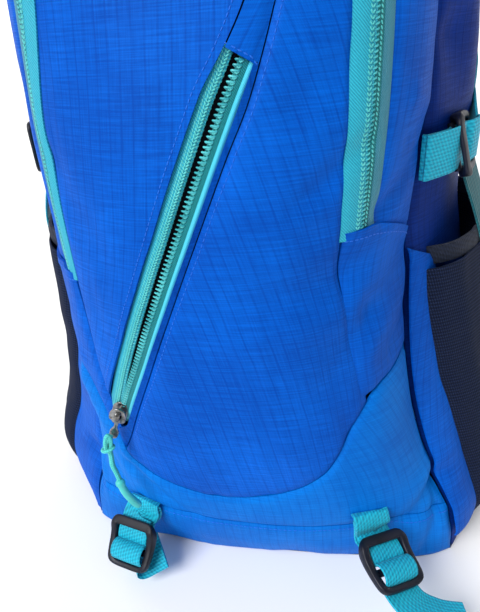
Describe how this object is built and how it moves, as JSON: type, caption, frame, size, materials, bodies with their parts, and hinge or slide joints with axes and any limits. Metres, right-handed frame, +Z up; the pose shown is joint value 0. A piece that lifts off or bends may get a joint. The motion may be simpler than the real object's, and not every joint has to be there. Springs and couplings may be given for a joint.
{
  "type": "daypack",
  "caption": "Panelled hiking daypack with a slanted front pocket zip, two upright side zips, mesh side pockets, webbing straps with ladder locks and a zipped crown.",
  "frame": {"origin": "middle of the flat bottom panel, on the surface that the pack stands on", "axes": "+Z up, -Y out of the front panel, +Y towards the wearer's back, +X to the right when facing the front"},
  "size_m": [0.353, 0.2996, 0.4576],
  "materials": {
    "shell_fabric": "ripstop nylon with a soft sheen",
    "lining": "matt coated lining",
    "padding": "air mesh over foam",
    "frame_sheet": "matt sheet",
    "zip": "woven tape with a moulded coil",
    "mesh": "open knit mesh",
    "binding": "elastic binding",
    "webbing": "flat woven webbing",
    "buckle_plastic": "moulded, slightly grained",
    "zip_metal": "plated, slightly worn",
    "cord": "braided cord",
    "grip": "soft moulded grip"
  },
  "bodies": {
    "pack": {"bottom_panel": "lining", "bottom_band": "shell_fabric", "base_panel": "shell_fabric", "front_panel_left": "shell_fabric", "front_panel_right": "shell_fabric", "wedge_left": "shell_fabric", "wedge_right": "shell_fabric", "gusset_left": "shell_fabric", "gusset_right": "shell_fabric", "side_panel_left": "shell_fabric", "side_panel_right": "shell_fabric", "back_panel": "padding", "frame_sheet": "frame_sheet", "divider_panel": "lining", "pocket_lining": "lining", "diag_zip_left": "zip", "diag_zip_right": "zip", "zip_garage": "shell_fabric", "side_zip_left": "zip", "side_zip_right": "zip", "rim_zip": "zip", "mesh_pocket_left": "mesh", "mesh_pocket_right": "mesh", "pocket_bindings": "binding", "back_pads": "padding", "shoulder_strap_left": "padding", "shoulder_strap_right": "padding", "lower_webbing": "webbing", "haul_loop": "webbing", "sternum_strap_left": "webbing", "sternum_socket": "buckle_plastic", "compression_webbing": "webbing", "lash_webbing": "webbing", "side_lock_left": "buckle_plastic", "side_lock_right": "buckle_plastic", "side_tail_left": "webbing", "side_tail_right": "webbing", "strap_lock_left": "buckle_plastic", "strap_lock_right": "buckle_plastic"},
    "crown": {"crown_cap": "shell_fabric", "crown_zip": "zip"},
    "diagonal_slider": {"diag_slider": "zip_metal"},
    "diagonal_tab": {"diag_tab": "zip_metal", "puller_cord": "cord", "puller_grip": "grip"},
    "side_slider_left": {"side_slider_left": "zip_metal"},
    "side_slider_right": {"side_slider_right": "zip_metal"},
    "side_pull_left": {"side_pull_left": "buckle_plastic"},
    "side_pull_right": {"side_pull_right": "buckle_plastic"},
    "crown_slider_front": {"crown_slider_front": "zip_metal"},
    "crown_slider_rear": {"crown_slider_rear": "zip_metal"},
    "lash_lock_left": {"lash_lock_left": "buckle_plastic", "lash_tail_left": "webbing"},
    "lash_lock_right": {"lash_lock_right": "buckle_plastic", "lash_tail_right": "webbing"},
    "sternum_plug": {"sternum_plug": "buckle_plastic", "sternum_strap_right": "webbing"}
  },
  "joints": [
    {"name": "crown_hinge", "type": "hinge", "parent": "pack", "child": "crown", "pos_m": [-0.018, 0.0723, 0.401], "axis": [-1, 0, 0], "range_deg": [0, 90]},
    {"name": "diagonal_zip_run", "type": "hinge", "parent": "pack", "child": "diagonal_slider", "pos_m": [-0.03331, 0.32818, 0.195], "axis": [-0.9149, 0.0202, 0.4031], "range_deg": [0, 22.69]},
    {"name": "diagonal_tab_swing", "type": "hinge", "parent": "diagonal_slider", "child": "diagonal_tab", "pos_m": [-0.07304, -0.11664, 0.1268], "axis": [-0.9165, 0, 0.3999], "range_deg": [0, 120]},
    {"name": "side_zip_run_left", "type": "slide", "parent": "pack", "child": "side_slider_left", "axis": [0, -0.196, -0.9806], "range_m": [0, 0.045]},
    {"name": "side_pull_swing_left", "type": "hinge", "parent": "side_slider_left", "child": "side_pull_left", "pos_m": [-0.09792, -0.07448, 0.37717], "axis": [-0.866, 0.4903, -0.098], "range_deg": [0, 120]},
    {"name": "side_zip_run_right", "type": "slide", "parent": "pack", "child": "side_slider_right", "axis": [0, -0.196, -0.9806], "range_m": [0, 0.09]},
    {"name": "side_pull_swing_right", "type": "hinge", "parent": "side_slider_right", "child": "side_pull_right", "pos_m": [0.06193, -0.07448, 0.37717], "axis": [-0.866, -0.4903, 0.098], "range_deg": [0, 120]},
    {"name": "crown_zip_run_front", "type": "slide", "parent": "pack", "child": "crown_slider_front", "axis": [-0.2622, -0.965, 0], "range_m": [0, 0.032]},
    {"name": "crown_zip_run_rear", "type": "slide", "parent": "pack", "child": "crown_slider_rear", "axis": [0.2622, 0.965, 0], "range_m": [0, 0.03]},
    {"name": "lash_swing_left", "type": "hinge", "parent": "pack", "child": "lash_lock_left", "pos_m": [-0.079, -0.112, 0.031], "axis": [0.9582, -0.2752, 0.0777], "range_deg": [-10, 40]},
    {"name": "lash_swing_right", "type": "hinge", "parent": "pack", "child": "lash_lock_right", "pos_m": [0.073, -0.115, 0.04], "axis": [0.8066, 0.555, -0.2034], "range_deg": [-10, 40]},
    {"name": "sternum_release", "type": "slide", "parent": "pack", "child": "sternum_plug", "axis": [1, 0, 0], "range_m": [0, 0.026]}
  ]
}
